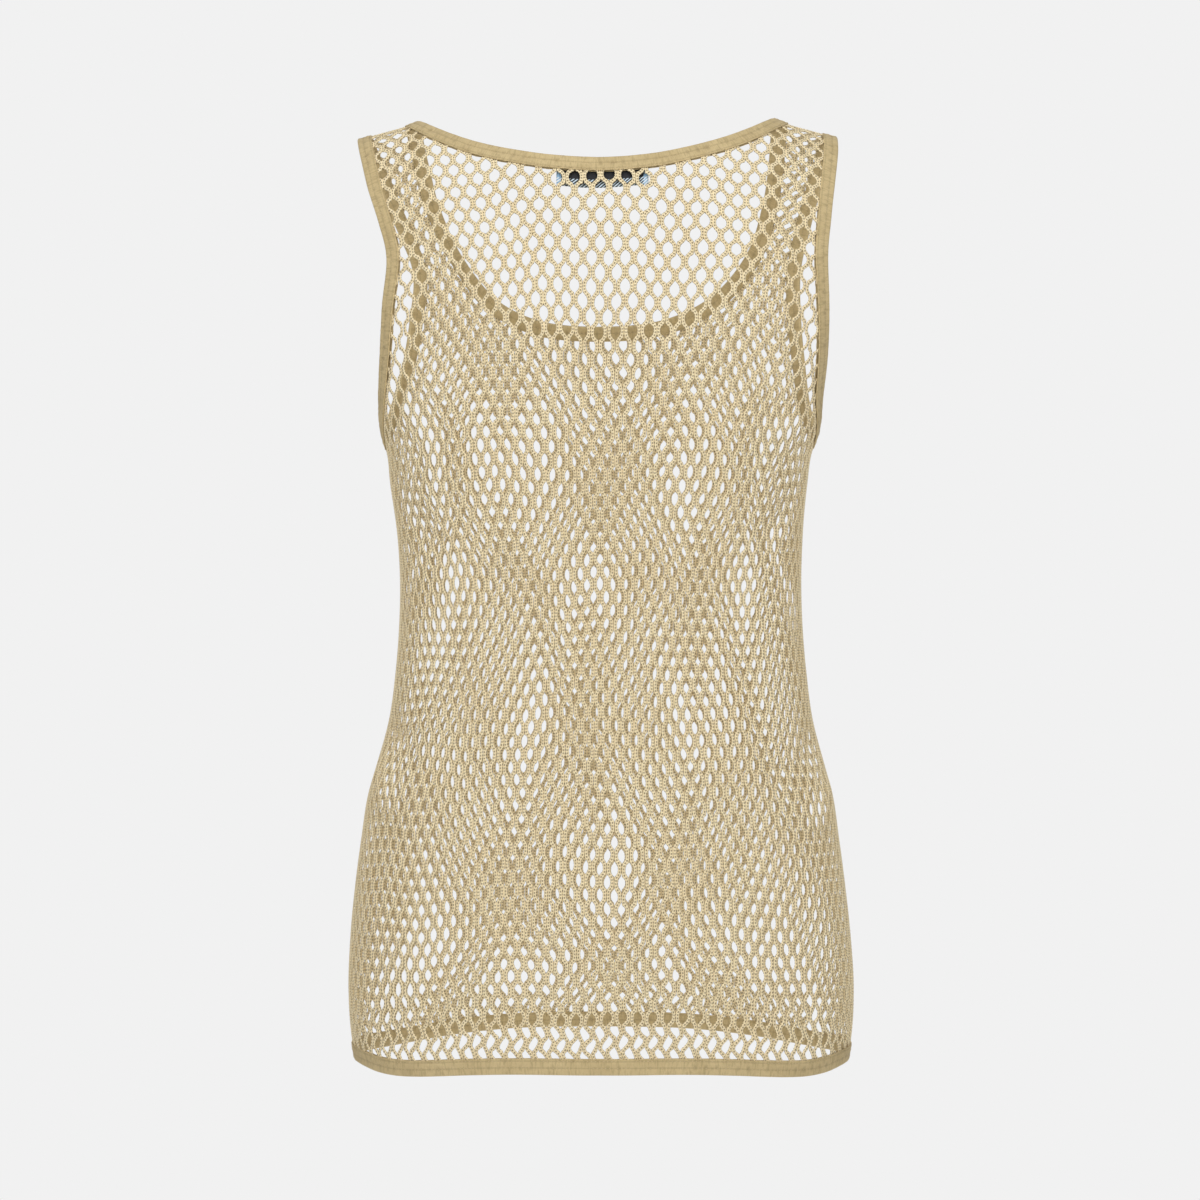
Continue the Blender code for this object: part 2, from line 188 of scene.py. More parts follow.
def directions(side, turn, rise):
    """The cloth's two slopes and its outward normal."""
    low_t, high_t = np.maximum(turn - 0.2, -90), np.minimum(turn + 0.2, 90)
    low_r, high_r = np.maximum(rise - 0.002, -1), np.minimum(rise + 0.002, 1)
    across = cloth(side, high_t, rise) - cloth(side, low_t, rise)
    up = cloth(side, turn, high_r) - cloth(side, turn, low_r)
    across /= (high_t - low_t)[..., None]
    up /= (high_r - low_r)[..., None]
    return across, up, unit(-side * np.cross(across, up))


seat = cloth(BACK, np.array([0.0]), np.array([-0.9]))[0]
print(f"the middle of the seat lies {seat[1]:.0f} mm behind the side seams")

# %% [markdown]
# ## The edges
# The neck, the armholes and the hem are each cut along a smooth line and bound with a strip. Only
# the fold lines are given here. Strips, stitches and yarn ends are found by walking from them
# into the cloth, so that all keep their distance from the edge.
# %% Fold lines and widths of the strips
NECK_STRIP, ARM_STRIP, HEM_STRIP = 11.0, 10.5, 11.0

# step from the middle to the shoulder; distance across and height behind, then in front
NECK = (
    (-1, -33.0, -24.5, -45.0, -124.0), (0, 0.0, -27.0, 0.0, -128.0),
    (1, 33.0, -24.5, 45.0, -124.0), (2, 60.0, -18.8, 80.0, -108.0),
    (3, 84.0, -11.5, 103.0, -80.0), (4, 104.0, -3.2, 115.0, -45.0),
    (5, 117.0, 3.6, 120.5, -16.0), (6, 123.0, 7.0, 123.0, 7.0),
)
# step from the underarm to the shoulder; distance across and height behind, then in front
ARMHOLE = (
    (0, 152.5, -212.0, 152.5, -212.0), (1, 154.5, -197.0, 151.5, -198.0),
    (2, 155.5, -165.0, 147.0, -165.0), (3, 154.8, -128.0, 143.0, -128.0),
    (4, 152.8, -93.0, 141.5, -93.0), (5, 155.5, -66.0, 147.0, -66.0),
    (6, 160.5, -40.0, 155.0, -40.0), (7, 165.0, -19.0, 163.0, -19.0),
    (8, 167.0, -6.5, 167.0, -6.5),
)
COLUMNS_OF = {BACK: (1, 2), FRONT: (3, 4)}
print(f"strips {NECK_STRIP}, {ARM_STRIP} and {HEM_STRIP} mm wide")

# %% Places on the cloth
WALK_STEPS = 6


def above_hem(share):
    """rise at that share of the hem strip's width."""
    return -1 + share * HEM_STRIP / (UNDERARM - HEM)


def locate(x, z):
    """turn and rise of a place above the underarm."""
    roll = np.clip((z - UNDERARM) / (through(SHOULDER, 1, np.abs(x)) - UNDERARM), 0, 1)
    rise = np.arcsin(roll) / np.radians(90)
    turn = np.degrees(np.arcsin(np.clip(x / through(REACH, 1, rise), -1, 1)))
    return turn, rise


def spaced(side, turn, rise, count):
    """The same line with count + 1 evenly spaced points."""
    along = gone(cloth(side, turn, rise))
    at = np.linspace(0, along[-1], count + 1)
    return np.interp(at, along, turn), np.interp(at, along, rise)


# %% Walks along the cloth
def walked(side, turn, rise, heading, length):
    """turn and rise after going that length along the cloth in the heading of each point."""
    for _ in range(WALK_STEPS):
        across, up, _ = directions(side, turn, rise)
        aa, ab, bb = (across * across).sum(-1), (across * up).sum(-1), (up * up).sum(-1)
        ha, hb = (heading * across).sum(-1), (heading * up).sum(-1)
        step = length / WALK_STEPS
        turn = np.clip(turn + step * (ha * bb - hb * ab) / (aa * bb - ab**2), -90, 90)
        rise = np.clip(rise + step * (hb * aa - ha * ab) / (aa * bb - ab**2), -1, 1)
    return turn, rise


def into_cloth(side, turn, rise, centre):
    """Headings square to an edge line, away from the centre of its hole."""
    points = cloth(side, turn, rise)
    normal = directions(side, turn, rise)[2]
    heading = unit(np.cross(normal, np.gradient(points, axis=0)))
    return heading * np.sign(((points - centre) * heading).sum(-1, keepdims=True))


# %% Along the neck, the armholes and the hem
FINE = 1601  # points on a fold line before it is evenly spaced
NECK_HOLE, ARM_HOLE = np.array((0.0, 0.0, 60.0)), np.array((155.0, 0.0, -110.0))


def neck_fold(side, count):
    """turn, rise and heading along the neck's fold, from the right shoulder to the left."""
    step = NECK[-1][0] * np.sin(np.radians(np.linspace(-90, 90, FINE)))
    x, z = (through(NECK, column, np.abs(step)) for column in COLUMNS_OF[side])
    turn, rise = spaced(side, *locate(np.sign(step) * x, z), count)
    heading = into_cloth(side, turn, rise, NECK_HOLE)
    across = unit(directions(side, turn, rise)[0])
    heading[0], heading[-1] = -across[0], across[-1]
    return turn, rise, heading


def arm_fold(side, count):
    """turn, rise and heading along the left armhole's fold, from shoulder to underarm."""
    half = ARMHOLE[-1][0] / 2
    step = half + half * np.cos(np.radians(np.linspace(0, 180, FINE)))
    x, z = (through(ARMHOLE, column, step) for column in COLUMNS_OF[side])
    turn, rise = spaced(side, *locate(x, z), count)
    turn[-1], rise[-1] = 90, 0
    heading = into_cloth(side, turn, rise, ARM_HOLE)
    across, up, _ = directions(side, turn, rise)
    heading[0], heading[-1] = -unit(across[0]), -unit(up[-1])
    return turn, rise, heading


def hem_fold(side, count):
    """turn, rise and heading along the hem's fold, from the right side seam to the left."""
    turn = np.linspace(-90, 90, count + 1)
    rise = np.full_like(turn, -1.0)
    return turn, rise, unit(directions(side, turn, rise)[1])


for side, name in SIDES.items():
    line = cloth(side, *neck_fold(side, 60)[:2])
    print(f"{name} neck edge: {gone(line)[-1]:.0f} mm round, lowest {line[:, 2].min():.0f} mm")

# %% [markdown]
# ## How it hangs
# A worn top never hangs quite even. This one sways a little to the wearer's right between the
# armholes, sits lower on the left shoulder, and its hem dips at both hips. A lattice could bend the
# finished meshes, but two short tables say it plainly. Every piece is moved in the same way just
# before its mesh is made, so they stay together.
# %% How far it hangs uneven
# height, how far it sways to the wearer's left, how far in the sides are drawn
SWAY = (
    (-660, -1.2, -0.6), (-600, -0.8, -0.8), (-540, -0.2, -0.4),
    (-480, -0.2, -0.2), (-420, -0.6, 0.2), (-350, -0.6, 0.0),
    (-290, -0.2, 0.0), (-240, 0.8, -0.5), (-212, 0.0, -0.9),
    (-190, -0.4, -2.2), (-160, -2.6, -2.4), (-125, -3.9, -2.4),
    (-90, -4.9, -2.2), (-70, -3.4, -0.5), (-45, -0.9, 0.8),
    (-20, 0.6, 0.6), (0, 2.2, 0.5), (30, 2.2, 0.5),
)
# distance from the middle, how far the hem dips behind, how far in front
HEM_DIP = (
    (0, 1.2, -4.2), (70, 2.0, -3.4), (98, 3.9, -1.6),
    (112, 5.3, -0.4), (126, 6.6, 1.0), (140, 7.4, 2.4),
    (154, 6.6, 3.4), (166, 4.4, 3.4), (180, 3.0, 3.0),
)
FULL_SWAY_OUT = 120  # from this far out the sway is full
DIP_FROM, DIP_OVER = -560, 84  # height where the dip starts, height over which it grows
TILT = -0.0045  # how much lower the left shoulder sits, a mm across
LEFT_DROP, LEFT_DROP_AT = 2.0, 88  # at the left end of the neck
print(f"the hem dips {max(dip for _, dip, _ in HEM_DIP)} mm at most")


# %% Move points to the way the top hangs
def settled(points):
    """Points in mm, moved from the even form to the way the top hangs."""
    x, y, z = (points[..., k] for k in range(3))
    level = np.clip(z, SWAY[0][0], SWAY[-1][0])
    outward = np.clip(x / FULL_SWAY_OUT, -1, 1)
    swung = through(SWAY, 1, level) * outward**2
    moved_x = x + swung + outward * through(SWAY, 2, level)
    away = np.clip(np.abs(x), 0, HEM_DIP[-1][0])
    behind = 1 / (1 + np.exp(-y / 12))
    dip = behind * through(HEM_DIP, 1, away) + (1 - behind) * through(HEM_DIP, 2, away)
    low = np.clip((DIP_FROM - z) / DIP_OVER, 0, 1)
    tilt = TILT * x * np.clip((z + 400) / 300, -0.3, 1)
    near_left = np.exp(-(((x - LEFT_DROP_AT) / 40) ** 2)) * np.clip((z + 120) / 100, 0, 1)
    moved_z = z - dip * low * low * (3 - 2 * low) + tilt - LEFT_DROP * near_left
    return np.stack((moved_x, y, moved_z), axis=-1)


for level in (-600, -400, -90, 0):
    moved = settled(np.array((140.0, 40.0, level))) - (140, 40, level)
    print(f"left side at {level} mm moves {moved[0]:.1f} mm out, {moved[2]:.1f} mm up")

# %% [markdown]
# ## Meshes from arrays
# The net has too many corners to add one by one with bmesh, so its meshes are filled from arrays.
# Each corner carries a place in the knitting, how far across its yarn it lies and how far along,
# by which the materials draw their loops.
# %% Mesh helpers
def placed(name, data):
    """A new object in the scene, with that mesh, light or camera."""
    made = bpy.data.objects.new(name, data)
    bpy.context.scene.collection.objects.link(made)
    return made


def to_mesh(name, points, quads, caps, across, along, material):
    """A smooth mesh from points in mm, quads and end caps, with its knitting map."""
    quads = np.asarray(quads, np.int64).reshape(-1, 4)
    loops = [quads.ravel()] + [np.asarray(cap, np.int64) for cap in caps]
    sizes = [np.full(len(quads), 4)] + [np.array([len(cap)]) for cap in caps]
    loops, sizes = np.concatenate(loops), np.concatenate(sizes)
    used, loops = np.unique(loops, return_inverse=True)
    mesh = bpy.data.meshes.new(name)
    mesh.vertices.add(len(used))
    mesh.vertices.foreach_set("co", (settled(points[used]) / 1000).astype(np.float32).ravel())
    mesh.loops.add(len(loops))
    mesh.loops.foreach_set("vertex_index", loops.astype(np.int32))
    mesh.polygons.add(len(sizes))
    starts = np.append(0, np.cumsum(sizes)[:-1])
    mesh.polygons.foreach_set("loop_start", starts.astype(np.int32))
    mesh.polygons.foreach_set("loop_total", sizes.astype(np.int32))
    mesh.polygons.foreach_set("use_smooth", np.ones(len(sizes), bool))
    layer = mesh.uv_layers.new(name="knitting")
    where = np.stack((across[used][loops], along[used][loops]), axis=1)
    layer.data.foreach_set("uv", where.astype(np.float32).ravel())
    mesh.update(calc_edges=True)
    mesh.validate()
    mesh.materials.append(material)
    return placed(name, mesh)


def triangles(made):
    return sum(len(p.vertices) - 2 for p in made.data.polygons)

# %% [markdown]
# ## Materials
# A knit repeats loop by loop, so it suits a finish that is worked out by nodes from the knitting
# map. Small helpers wire the nodes, so that each finish below reads as a short list of steps.
# %% Node helpers
class Shader:
    """A material whose nodes are added one by one."""

    def __init__(self, name):
        self.material = bpy.data.materials.new(name)
        self.material.use_nodes = True
        self.nodes = self.material.node_tree.nodes
        self.links = self.material.node_tree.links
        self.surface = self.nodes["Principled BSDF"]

    def put(self, socket, value):
        if isinstance(value, bpy.types.NodeSocket):
            self.links.new(value, socket)
        else:
            socket.default_value = value

    def set(self, **values):
        for name, value in values.items():
            self.put(self.surface.inputs[name.replace("_", " ")], value)

    def map(self):
        """across and along, in the mesh's knitting map."""
        source = self.nodes.new("ShaderNodeUVMap")
        source.uv_map = "knitting"
        parts = self.nodes.new("ShaderNodeSeparateXYZ")
        self.links.new(source.outputs[0], parts.inputs[0])
        return parts.outputs[0], parts.outputs[1]

    def place(self):
        """The point on the object, in metres."""
        return self.nodes.new("ShaderNodeTexCoord").outputs["Object"]

    def node(self, kind, *given, **settings):
        """A new node with those settings, its first inputs wired or set as given."""
        node = self.nodes.new(kind)
        for name, value in settings.items():
            setattr(node, name, value)
        for socket, value in zip(node.inputs, given):
            self.put(socket, value)
        return node

    def vector(self, x, y):
        return self.node("ShaderNodeCombineXYZ", x, y).outputs[0]

    def math(self, how, a, b=0.0, c=0.0):
        return self.node("ShaderNodeMath", a, b, c, operation=how).outputs[0]

    def times(self, a, b):
        return self.math("MULTIPLY", a, b)

    def size(self, a, less=None):
        """The size of a, or of a less that much, whatever its sign."""
        return self.math("ABSOLUTE", a if less is None else self.math("SUBTRACT", a, less))

    def noise(self, scale, detail=2.0, vector=None):
        where = vector or self.place()
        return self.node("ShaderNodeTexNoise", where, 0.0, scale, detail).outputs[0]

    def range(self, *given):
        """A smooth step of a value from low to high, to 0 and 1 or to two more values."""
        how = {"interpolation_type": "SMOOTHSTEP"}
        return self.node("ShaderNodeMapRange", *given, **how).outputs[0]

    def mix(self, share, *colours):
        node = self.node("ShaderNodeMix", share, data_type="RGBA")
        for socket, colour in zip(node.inputs[6:8], colours):
            self.put(socket, (*colour, 1) if isinstance(colour, tuple) else colour)
        return node.outputs[2]

    def bump(self, height, distance, strength):
        node = self.nodes.new("ShaderNodeBump")
        node.inputs["Strength"].default_value = strength
        node.inputs["Distance"].default_value = distance
        self.links.new(height, node.inputs["Height"])
        return node.outputs[0]

# %% [markdown]
# ## Yarn
# Each column of the net is a chain of knitted loops. Two slanting rows of loops meet at its
# middle; the pinholes between them and dots along the yarn's edges are darkened with painted
# shade. The loops are under a millimetre high, so they are colour and bump on a smooth tube. Matt
# cotton has a faint fuzz, so the sheen is low.
# %% The net's yarn
STITCH = 2.15  # mm along the yarn
YARN_LIGHT, YARN_MID, YARN_DARK = (0.98, 0.845, 0.56), (0.95, 0.80, 0.515), (0.76, 0.60, 0.34)
# painted shade for the pinholes and the yarn's edges, and how strongly it is laid on
PINHOLE_SHADE, PINHOLE_SHADE_SHARE = (0.12, 0.07, 0.022), 0.80


def yarn_material():
    s = Shader("cotton_net_yarn")
    across, along = s.map()
    side = s.size(across)
    slant = s.math("MULTIPLY_ADD", side, 0.5, s.math("DIVIDE", along, STITCH))
    part = s.math("FRACT", slant)
    gap = s.size(part, 0.5)
    # where painted shade falls: pinholes down the middle of the yarn, dots along its edges
    middle = s.times(s.range(side, 0.16, 0.48, 1.0, 0.0), s.range(gap, 0.14, 0.38, 1.0, 0.0))
    edge = s.times(s.range(side, 0.66, 0.95), s.range(gap, 0.20, 0.42))
    hole = s.math("MAXIMUM", middle, edge)
    patch = s.noise(28.0, 3.0)
    light = s.mix(s.range(patch, 0.3, 0.7), YARN_LIGHT, YARN_MID)
    grain = s.noise(700.0, 2.0)
    light = s.mix(s.range(grain, 0.40, 0.75, 0.0, 0.45), light, YARN_DARK)
    # painted shade laid over the yarn's own colour
    colour = s.mix(s.times(hole, PINHOLE_SHADE_SHARE), light, PINHOLE_SHADE)
    loop = s.math("SINE", s.times(part, PI))
    raised = s.math("MULTIPLY_ADD", loop, 0.5, s.times(grain, 0.4))
    height = s.math("SUBTRACT", raised, hole)
    s.set(Base_Color=colour, Roughness=0.9, Normal=s.bump(height, 0.0005, 0.8))
    s.set(Sheen_Weight=0.15, Sheen_Roughness=0.55, Specular_IOR_Level=0.2)
    s.surface.inputs["Sheen Tint"].default_value = (0.9, 0.82, 0.66, 1)
    return s.material


net_yarn = yarn_material()
print(f"{net_yarn.name}: {len(net_yarn.node_tree.nodes)} nodes")

# %% [markdown]
# ## Jersey
# The strips are single jersey, a fine flat knit of small V-shaped stitches. Woven bands would be
# stiffer and could not follow the curves so smoothly. Painted shade darkens the hollows between
# the stitches, faint spots of painted shade run down the middle where the jersey sinks over the
# holes of the net inside, soft streaks follow the yarn, and both lines of stitches lie in furrows
# darkened with painted shade.
# %% The strips' jersey
STITCH_ROWS = (1.3, 5.9)  # mm from the strip's inner edge
RIB, NET_BEAT = 0.95, 7.3  # mm along the strip from one rib, or one painted spot of shade, to the next
JERSEY_LIGHT, JERSEY_DEEP = (0.75, 0.595, 0.32), (0.67, 0.525, 0.275)
# the last two colours are painted shade: in the knit's hollows and stitch furrows, and in spots
# where the jersey sinks over the net's holes
STREAK, FURROW_SHADE, SPOT_SHADE = (0.43, 0.325, 0.155), (0.33, 0.24, 0.11), (0.31, 0.225, 0.11)


def jersey_material(width):
    s = Shader("cotton_jersey")
    across, along = s.map()
    rib = s.size(s.math("SINE", s.times(along, PI / RIB)))
    vees = s.math("MULTIPLY_ADD", across, 1.2, s.times(rib, 0.5))
    loop = s.size(s.math("SINE", s.times(vees, PI)))
    knit = s.times(s.math("MULTIPLY_ADD", rib, 0.6, 0.4), loop)
    streaks = s.noise(1.0, 3.0, s.vector(s.times(along, 0.85), s.times(across, 0.16)))
    folds = s.noise(1.0, 2.0, s.vector(s.times(along, 0.16), s.times(across, 0.10)))
    base = s.mix(s.range(s.noise(60.0, 4.0), 0.3, 0.72), JERSEY_LIGHT, JERSEY_DEEP)
    base = s.mix(s.range(streaks, 0.46, 0.70, 0.0, 0.5), base, STREAK)
    # painted shade in the hollows between the stitches
    colour = s.mix(s.range(knit, 0.0, 0.5, 0.4, 0.0), base, FURROW_SHADE)
    # spots of painted shade down the middle, where the jersey sinks over the net's holes
    beat = s.math("SINE", s.times(along, 2 * PI / NET_BEAT))
    off_middle = s.size(s.size(across), 5.5)
    shade_spots = s.times(s.range(beat, 0.1, 1.0), s.range(off_middle, 0.0, 3.2, 1.0, 0.0))
    shade_spots = s.times(shade_spots, s.range(s.noise(45.0, 2.0), 0.40, 0.62, 0.0, 0.42))
    colour = s.mix(shade_spots, colour, SPOT_SHADE)
    # painted shade in the furrows of both lines of stitches
    for row in STITCH_ROWS:
        beside = s.size(s.size(across), width - row)
        colour = s.mix(s.range(beside, 0.25, 0.75, 0.30, 0.0), colour, FURROW_SHADE)
    tall = s.math("MULTIPLY_ADD", streaks, 1.6, knit)
    tall = s.math("MULTIPLY_ADD", folds, 5.0, tall)
    s.set(Base_Color=colour, Roughness=0.92, Normal=s.bump(tall, 0.0003, 0.9))
    s.set(Sheen_Weight=0.12, Sheen_Roughness=0.5, Specular_IOR_Level=0.2)
    return s.material


jersey = {width: jersey_material(width) for width in (NECK_STRIP, ARM_STRIP)}
print("jersey for strips of", *jersey, "mm")


# %% Sewing thread
def thread_material():
    s = Shader("sewing_thread")
    base = s.mix(s.noise(900.0, 2.0), (0.74, 0.60, 0.36), (0.64, 0.50, 0.28))
    s.set(Base_Color=base, Roughness=0.6, Specular_IOR_Level=0.4)
    return s.material


thread = thread_material()
print(f"{thread.name}: {len(thread.node_tree.nodes)} nodes")

# %% [markdown]
# ## The net
# Fine yarn columns run from hem to shoulder. Neighbours knit together for a while, then part and
# join the neighbour on the other side, which leaves staggered lens-shaped holes.
# Holes cut in a sheet would have sharp rims, so every column is a tube of its own. The net is
# pulled narrower at the waist and wider over the shoulders, so its pitch changes.
# %% Sizes of the net
YARN_THICK, SECTION = 1.3, 6  # mm from front to back, corners round a yarn
COLUMNS, LEVELS_A_ROW = 52, 6  # columns on either half of a panel
# height, width of one column of holes
COLUMN_PITCH = (
    (-644, 10.0), (-560, 10.1), (-450, 9.5), (-330, 9.05),
    (-240, 10.3), (-150, 10.9), (-60, 12.0), (30, 12.6),
)
# distance up the cloth from the hem strip, height of one row of holes
ROW_PITCH = ((0, 8.2), (30, 8.7), (80, 9.3), (200, 9.4), (420, 9.6), (720, 9.6))
# height, width of a hole as a share of its column
HOLE_WIDE = (
    (-644, 0.565), (-590, 0.555), (-500, 0.525), (-330, 0.515),
    (-240, 0.545), (-150, 0.60), (-60, 0.64), (30, 0.63),
)
HOLE_HALF_TALL = 0.59  # share of a row
HOLE_ROUND = 0.62  # 0.5 would be an ellipse, 1 a lens with sharp ends
TOUCH = 0.012  # share of a column by which joined neighbours sink into each other


# %% Where rows and holes lie
def row_levels(side):
    """rise and row number of every level at which the yarns are drawn."""
    fine = np.linspace(above_hem(0.4), 1, 2001)
    up = gone(cloth(side, np.full_like(fine, 24.0), fine))
    edges = [0.0]
    while edges[-1] < up[-1]:
        edges.append(edges[-1] + float(through(ROW_PITCH, 1, np.array(edges[-1]))))
    row = np.arange((len(edges) - 1) * LEVELS_A_ROW + 1) / LEVELS_A_ROW
    at = np.interp(row, np.arange(len(edges)), edges)
    keep = at < up[-1]
    rise = np.append(np.interp(at[keep], up, fine), 1.0)
    return rise, np.append(row[keep], row[keep][-1] + 0.15)


def hole(row, widest):
    """Width of the holes beside a column, as a share of the pitch, centred on even rows."""
    away = np.abs((row + 1) % 2 - 1)
    tall = np.clip(1 - (away / HOLE_HALF_TALL) ** 2, 0, 1)
    return widest * tall**HOLE_ROUND - TOUCH


print(f"{row_levels(BACK)[1][-1]:.0f} rows of holes on the back")

# %% [markdown]
# No real net is even. Slow waves shift its columns and rows, and the last rows above the hem lean
# to and fro, where the strip holds them.
# %% Unevenness of the knitting
LEAN, LEAN_ROWS, LEAN_FADE = 0.24, 4.3, 1.4  # share of a column, rows that lean, rows it fades in
# share of a row, turn a column, turn a row, shift
UP_WAVES = ((0.16, 0.24, 0.17, 0), (0.10, 0.61, -0.22, 1), (0.05, 1.1, 0.5, 0))


def ripple(side, column, row):
    """Slow unevenness, as shares of a column and of a row."""
    across = 0.16 * np.sin(0.21 * column + 1.1 * side) * np.sin(0.15 * row + 0.4)
    across += 0.07 * np.sin(0.47 * column - 0.36 * row + side)
    across += LEAN * np.sin(np.pi * (row - 1)) * np.clip((LEAN_ROWS - row) / LEAN_FADE, 0, 1)
    up = sum(far * np.sin(a * column + b * row + c * side) for far, a, b, c in UP_WAVES)
    return across, up


print(f"a column wanders {np.ptp(ripple(BACK, 3, np.arange(60.0))[0]):.2f} of its width")

# %% [markdown]
# The yarns end hidden in the strips. Cutting the meshes with a boolean would be slow and ragged,
# so each place is tested against the panel's outline, drawn along the strips' middle lines.
# %% Where the yarns end
EDGE_STEPS = 120
STRIP_MIDDLE = 0.45  # share of a strip's width


def inside(side, turn, rise):
    """Whether a place lies within the outline of the panel."""
    half = EDGE_STEPS // 2
    neck = walked(side, *neck_fold(side, EDGE_STEPS), STRIP_MIDDLE * NECK_STRIP)
    neck_t, neck_r = (line[half:][::-1] for line in neck)
    arm = walked(side, *arm_fold(side, EDGE_STEPS), STRIP_MIDDLE * ARM_STRIP)
    arm_t, arm_r = (line[::-1] for line in arm)
    low = above_hem(0.35)
    ring_t = np.concatenate(((-5, 95, 95, 95), arm_t, neck_t, (-5,)))
    ring_r = np.concatenate(((low, low, low, arm_r[0]), arm_r, neck_r, neck_r[-1:]))
    ring_r[np.isclose(ring_r, 1.0, atol=2e-3)] = 1.01
    x, y = np.abs(turn), rise
    hits = np.zeros(x.shape, bool)
    for x0, y0, x1, y1 in zip(ring_t, ring_r, np.roll(ring_t, -1), np.roll(ring_r, -1)):
        if y0 != y1:
            cross = (y0 > y) != (y1 > y)
            hits ^= cross & (x < (x1 - x0) * (y - y0) / (y1 - y0) + x0)
    return hits


print("a yarn in the middle of the back:", *inside(BACK, np.zeros(1), np.zeros(1)))

# %% [markdown]
# Columns are laid out by their distance from the middle, measured round the form. Above the
# underarm they go over to level distances, since the straps are not bent round the sides.
# %% Lay out the columns
TURNS = 721  # places round the form where it is measured
LEVEL_FROM = 0.35  # rise from which the distances are level
SIDE_PITCH, WIDE_FOR = 10.9, 5  # mm at the straps' sides, columns that are wider
STRAY = 0.04  # mm


def measured(side, rise):
    """Turns round the form, the distance across at each of them, and heights of the middle."""
    turn, middle = np.linspace(-90, 90, TURNS), TURNS // 2
    grid = cloth(side, turn[None, :], rise[:, None])
    steps = np.linalg.norm(np.diff(grid, axis=1), axis=2)
    across = np.concatenate((np.zeros((len(rise), 1)), np.cumsum(steps, axis=1)), axis=1)
    across -= across[:, middle : middle + 1]
    level = np.clip(rise / LEVEL_FROM, 0, 1)[:, None]
    level = level * level * (3 - 2 * level)
    return turn, (1 - level) * across + level * grid[:, :, 0], grid[:, middle, 2]


def laid_out(side, rise, row, height, rng):
    """How far across each column lies at every level, and half the width of its yarn there."""
    pitch, widest = through(COLUMN_PITCH, 1, height), through(HOLE_WIDE, 1, height)
    side_pitch = np.where(rise > 0, np.minimum(pitch, SIDE_PITCH), pitch)
    columns = np.arange(-COLUMNS, COLUMNS)
    spot, wide = np.empty((2, len(columns), len(rise)))
    for k, column in enumerate(columns):
        aside, up = ripple(side, column, row)
        after = hole(row + up + column % 2, widest)
        before = hole(row + up + 1 + column % 2, widest)
        place = (column + 0.5 + aside) / 2
        spot[k] = side_pitch * place + (pitch - side_pitch) * WIDE_FOR * np.tanh(place / WIDE_FOR)
        spot[k] += pitch * (before - after) / 4
        spot[k] += rng.normal(0, STRAY, len(row))
        wide[k] = pitch * (0.5 - (before + after) / 2) / 2
    return columns, spot, wide[..., None]


# %% Knit one panel
SEED = {BACK: 11, FRONT: 23}
PAST_SEAM = 0.9  # mm that a column may pass the side seam


def knit(side):
    """Every yarn column of one panel: where it may run, its tube's corners and their map."""
    rise, row = row_levels(side)
    turn, across, height = measured(side, rise)
    rng = np.random.default_rng(SEED[side])
    columns, spot, wide = laid_out(side, rise, row, height, rng)
    allowed = (spot < across[:, -1] + PAST_SEAM) & (spot > across[:, 0] - PAST_SEAM)
    angle = np.stack([np.interp(spot[:, j], across[j], turn) for j in range(len(rise))], axis=1)
    levels = np.broadcast_to(rise, angle.shape)
    allowed &= inside(side, angle, levels)
    middle = cloth(side, angle, levels)
    normal = directions(side, angle, levels)[2]
    ahead = unit(np.gradient(middle, axis=1))
    beside = unit(np.cross(ahead, normal))
    normal = np.cross(beside, ahead)
    wide = wide * (1 + 0.03 * rng.normal(size=wide.shape))
    round_it = np.radians(np.arange(SECTION) * 360 / SECTION)
    ring = [
        middle + wide * np.cos(a) * beside + YARN_THICK / 2 * np.sin(a) * normal for a in round_it
    ]
    points = np.stack(ring, axis=2).reshape(-1, 3)
    steps = np.linalg.norm(np.diff(middle, axis=1, prepend=middle[:, :1]), axis=2)
    length = np.cumsum(steps, axis=1) + rng.uniform(0, 9, (len(columns), 1))
    along = np.repeat(length[..., None], SECTION, axis=2).ravel()
    over = np.broadcast_to(np.cos(round_it), middle.shape[:2] + (SECTION,)).ravel()
    return columns, allowed, points, over, along


def yarn_faces(allowed, wanted):
    """Quads and end caps of the wanted columns' tubes."""
    first = np.arange(allowed.size).reshape(allowed.shape) * SECTION
    both = allowed[:, :-1] & allowed[:, 1:] & wanted[:, None]
    a, b = first[:, :-1][both], first[:, 1:][both]
    quads = [
        np.stack((a + k, b + k, b + (k + 1) % SECTION, a + (k + 1) % SECTION), axis=1)
        for k in range(SECTION)
    ]
    padded = np.pad(both, ((0, 0), (1, 1)))
    starts = first[padded[:, 1:] & ~padded[:, :-1]]
    ends = first[padded[:, :-1] & ~padded[:, 1:]]
    caps = [start + np.arange(SECTION) for start in starts]
    caps += [end + np.arange(SECTION)[::-1] for end in ends]
    return np.concatenate(quads), caps


# %% Both panels, each in two halves
nets = {}
for side, name in SIDES.items():
    columns, allowed, points, over, along = knit(side)
    for hand, word in HANDS.items():
        quads, caps = yarn_faces(allowed, columns * hand >= (hand < 0))
        made = to_mesh(f"{name}_net_{word}", points, quads, caps, over, along, net_yarn)
        nets[made.name] = made
        print(f"{made.name}: {len(caps) // 2} yarn runs, {triangles(made)} triangles")

# %% [markdown]
# ## The folded strips
# A strip is folded round the cut edge of the net and stitched through. It is a little puffed
# between the fold and the stitches, and puckers slightly where the needle pulls it in. Its section
# is swept along the edge by walking into the cloth, so it keeps its width round every curve.
# %% Section of a strip
PANEL_HALF, LEAF = 0.75, 0.85  # half the net's thickness, thickness of one leaf of jersey
STITCH_LONG, STITCH_STEP, STITCH_HALF = 2.0, 2.7, 0.24
FURROW_DEEP, FURROW_HALF = 0.26, 0.8
FOLD_ROUND = 0.12  # share of the width in which the fold curves over
SHARES = (0.0, 0.02, 0.06, 0.12, 0.25, 0.4, 0.5, 0.6, 0.72, 0.84, 0.92, 0.97, 1.0)


